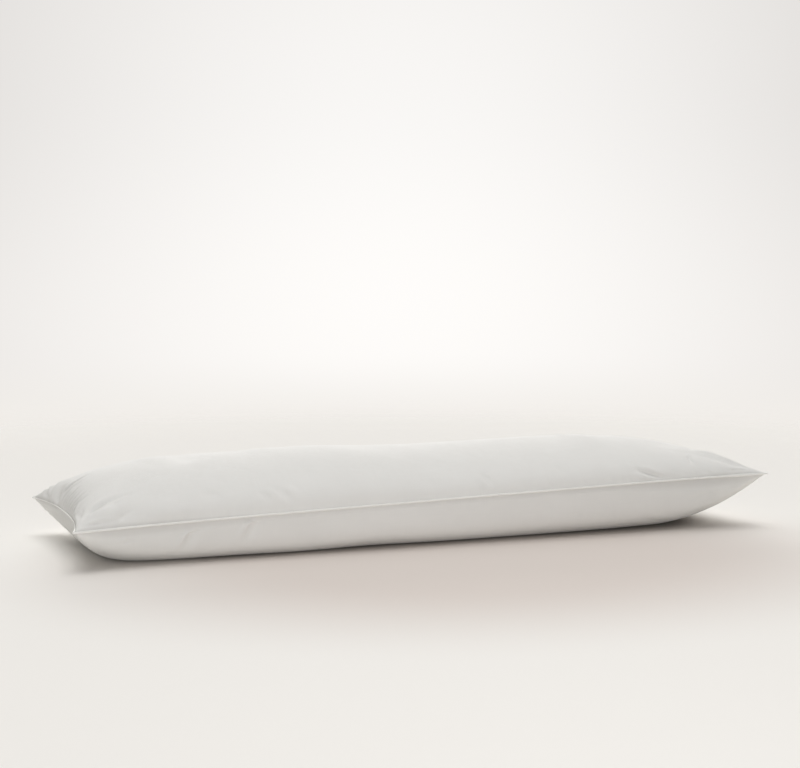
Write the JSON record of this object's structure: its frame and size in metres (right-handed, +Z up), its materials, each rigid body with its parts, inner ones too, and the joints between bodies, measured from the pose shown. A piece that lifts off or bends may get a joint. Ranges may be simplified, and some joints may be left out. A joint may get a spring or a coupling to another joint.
{
  "type": "body pillow",
  "caption": "Long filled body pillow in plain white cotton, plump and tapering to pointed corners, with a thin piped seam all round, lying flat on its back.",
  "frame": {"origin": "on the surface that the pillow lies on, under the centre of its bounding box", "axes": "+X along the length, +Y across the width, +Z up out of the crown"},
  "size_m": [1.464, 0.4688, 0.1826],
  "materials": {
    "cotton": "matt fine plain-weave cotton, faint sheen",
    "piping": "matt self-fabric piping, folded over a cord"
  },
  "bodies": {
    "root": {"pillow": "cotton", "piping": "piping"}
  },
  "joints": []
}
